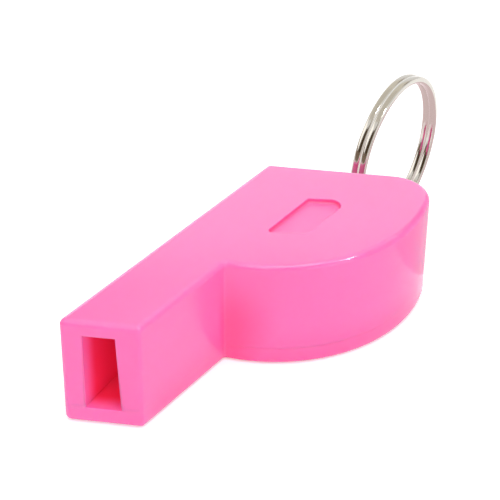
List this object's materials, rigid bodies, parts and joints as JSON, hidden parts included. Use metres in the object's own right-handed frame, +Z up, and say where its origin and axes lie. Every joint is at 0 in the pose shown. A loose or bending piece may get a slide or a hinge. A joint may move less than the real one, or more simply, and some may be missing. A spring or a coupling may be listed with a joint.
{
  "type": "whistle keychain",
  "caption": "Pea whistle of moulded plastic with a slanted mouthpiece and round drum, on a split key ring through a lug at its back.",
  "frame": {"origin": "on the flat side that the whistle lies on, under the axis of the round chamber", "axes": "+X along the straight side from the mouth to the back, +Y from the belly to the straight side, +Z up through the thickness"},
  "size_m": [0.0775, 0.0251, 0.0239],
  "materials": {
    "pink_plastic": "glossy injection moulding, slightly translucent pink",
    "pea": "fine grained cork",
    "ring_metal": "bright nickel plated spring wire"
  },
  "bodies": {
    "whistle": {"whistle_body": "pink_plastic", "side_cover": "pink_plastic"},
    "pea": {"pea": "pea"},
    "ring": {"split_ring": "ring_metal"}
  },
  "joints": [
    {"name": "ring_swing", "type": "hinge", "parent": "whistle", "child": "ring", "pos_m": [0.01606, 0.00198, 0.008], "axis": [0, 0, 1], "range_deg": [-83, 120]},
    {"name": "pea_run", "type": "hinge", "parent": "whistle", "child": "pea", "pos_m": [0, 0, 0.0069], "axis": [0, 0, 1], "continuous": true}
  ]
}
